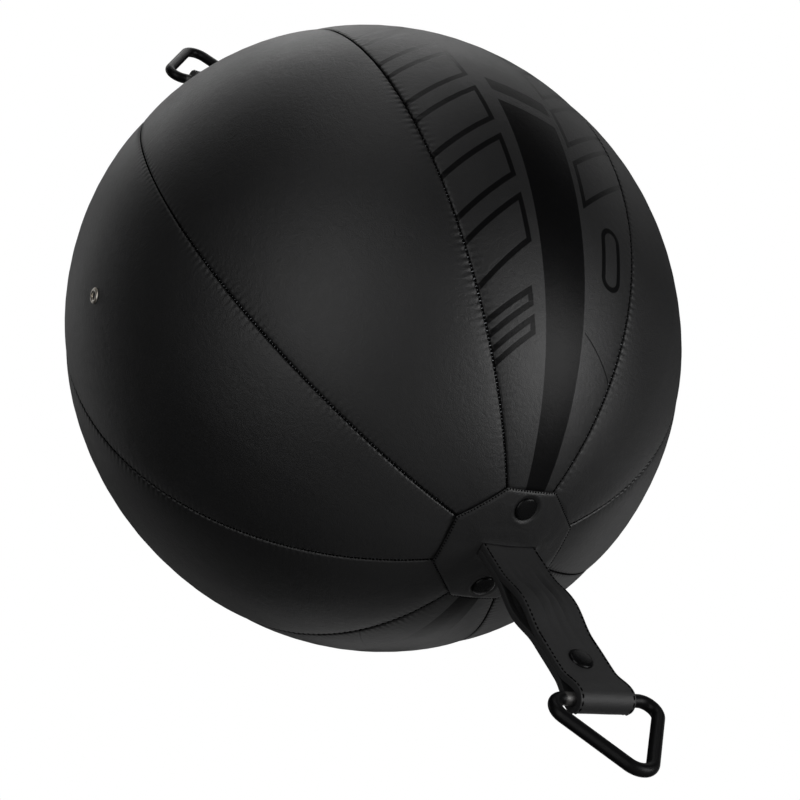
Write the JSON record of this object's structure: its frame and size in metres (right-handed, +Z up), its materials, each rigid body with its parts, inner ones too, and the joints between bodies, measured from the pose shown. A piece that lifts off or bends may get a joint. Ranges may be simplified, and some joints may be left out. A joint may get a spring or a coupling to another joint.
{
  "type": "uppercut bag",
  "caption": "Round stuffed leather punching ball with sewn panels, a strap and triangular ring at its top for hanging, and the same below for a floor tether.",
  "frame": {"origin": "where the hook bears, on the inside of the top ring's apex", "axes": "+Z up along the hanging axis, X along the bars of the rings and the width of the straps"},
  "size_m": [0.4209, 0.42, 0.8319],
  "materials": {
    "panel_leather": "satin",
    "cap_leather": "satin",
    "backing_leather": "matte",
    "strap_leather": "satin",
    "black_rivet": "gloss",
    "steel_washer": "satin",
    "ring_wire": "gloss",
    "vent_nickel": "satin",
    "foam": "matte",
    "canvas": "matte",
    "textile_filling": "matte"
  },
  "bodies": {
    "top_ring": {"top_ring": "ring_wire"},
    "top_strap": {"top_strap": "strap_leather", "top_strap_rivet": "black_rivet", "top_strap_rivet_cap": "black_rivet"},
    "ball": {"top_strap_feet": "strap_leather", "top_cap": "cap_leather", "top_backing": "backing_leather", "top_cap_rivets": "black_rivet", "top_cap_washers": "steel_washer", "panel_1": "panel_leather", "panel_2": "panel_leather", "panel_3": "panel_leather", "panel_4": "panel_leather", "panel_5": "panel_leather", "panel_6": "panel_leather", "panel_7": "panel_leather", "panel_8": "panel_leather", "foam_layer": "foam", "inner_bag": "canvas", "filling": "textile_filling", "vent_eyelet": "vent_nickel", "vent_washer": "vent_nickel", "bottom_cap": "cap_leather", "bottom_backing": "backing_leather", "bottom_cap_rivets": "black_rivet", "bottom_cap_washers": "steel_washer", "bottom_strap_feet": "strap_leather"},
    "bottom_strap": {"bottom_strap": "strap_leather", "bottom_strap_rivet": "black_rivet", "bottom_strap_rivet_cap": "black_rivet"},
    "bottom_ring": {"bottom_ring": "ring_wire"}
  },
  "joints": [
    {"name": "top_ring_swing", "type": "hinge", "parent": "top_ring", "child": "top_strap", "pos_m": [0, 0, -0.05094], "axis": [1, 0, 0], "range_deg": [-120, 120]},
    {"name": "top_strap_flex", "type": "hinge", "parent": "top_strap", "child": "ball", "pos_m": [0, 0, -0.17556], "axis": [1, 0, 0], "range_deg": [-60, 60]},
    {"name": "bottom_strap_flex", "type": "hinge", "parent": "ball", "child": "bottom_strap", "pos_m": [0, 0, -0.64032], "axis": [1, 0, 0], "range_deg": [-60, 60]},
    {"name": "bottom_ring_swing", "type": "hinge", "parent": "bottom_strap", "child": "bottom_ring", "pos_m": [0, 0, -0.76494], "axis": [1, 0, 0], "range_deg": [-120, 120]}
  ]
}
